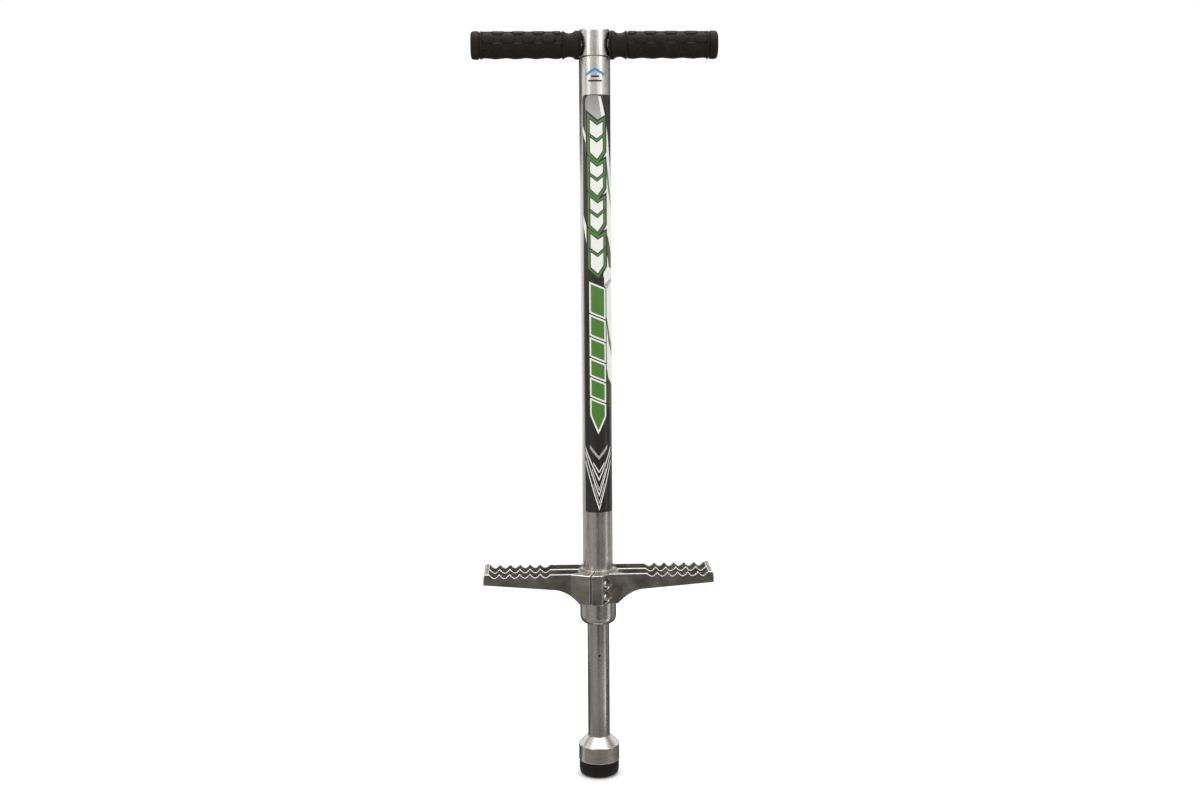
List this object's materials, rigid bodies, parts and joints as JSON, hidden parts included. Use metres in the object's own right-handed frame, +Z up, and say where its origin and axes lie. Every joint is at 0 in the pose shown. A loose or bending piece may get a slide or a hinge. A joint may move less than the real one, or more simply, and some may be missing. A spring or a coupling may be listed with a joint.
{
  "type": "pogo stick",
  "caption": "Aluminium pogo stick with a T handle, clamped cast footrest, sprung piston tube inside the frame tube and a rubber foot.",
  "frame": {"origin": "centre of the rubber foot's flat bottom, on the floor that the stick stands on", "axes": "+Z up along the frame tube, -Y out of the front, where the decal and the footrest clamp are, and X along the handlebar and the footrest"},
  "size_m": [0.3, 0.0705, 0.94],
  "materials": {
    "brushed_aluminium": "drawn tube, brushed lengthwise, satin",
    "cast_aluminium": "cast and tumbled, bright on the worn edges",
    "turned_aluminium": "turned, satin",
    "zinc_steel": "bright zinc plate",
    "spring_steel": "oiled, dark",
    "black_rubber": "moulded, matt",
    "nylon": "natural, machined",
    "printed_film": "glossy printed vinyl film, green, black, white and silver"
  },
  "bodies": {
    "frame": {"frame_tube": "brushed_aluminium", "head_cap": "brushed_aluminium", "head_rivet_upper": "zinc_steel", "head_rivet_lower": "zinc_steel", "decal_wrap": "printed_film", "badge_decal": "printed_film", "lower_cap": "turned_aluminium", "handlebar_tube": "brushed_aluminium", "handlebar_set_screw": "zinc_steel", "left_grip": "black_rubber", "right_grip": "black_rubber", "left_grip_ring": "black_rubber", "right_grip_ring": "black_rubber", "footrest_casting": "cast_aluminium", "clamp_bolt_upper": "zinc_steel", "clamp_bolt_lower": "zinc_steel", "guide_bushing": "nylon", "rebound_bumper": "black_rubber", "main_spring": "spring_steel", "upper_spring_seat": "turned_aluminium", "seat_pin": "zinc_steel"},
    "spring_carrier": {"thrust_washer": "zinc_steel"},
    "piston": {"piston_tube": "brushed_aluminium", "piston_head": "nylon", "piston_head_pin": "zinc_steel", "foot_ferrule": "turned_aluminium", "foot_disc": "zinc_steel", "rubber_foot": "black_rubber", "foot_set_screw": "zinc_steel"}
  },
  "joints": [
    {"name": "piston_slide", "type": "slide", "parent": "frame", "child": "spring_carrier", "axis": [0, 0, 1], "range_m": [0, 0.12], "stiffness_N_per_m": 8000, "springref_m": -0.012, "deforming": ["main_spring"]},
    {"name": "foot_swivel", "type": "hinge", "parent": "spring_carrier", "child": "piston", "pos_m": [0, 0, 0], "axis": [0, 0, 1], "continuous": true}
  ]
}
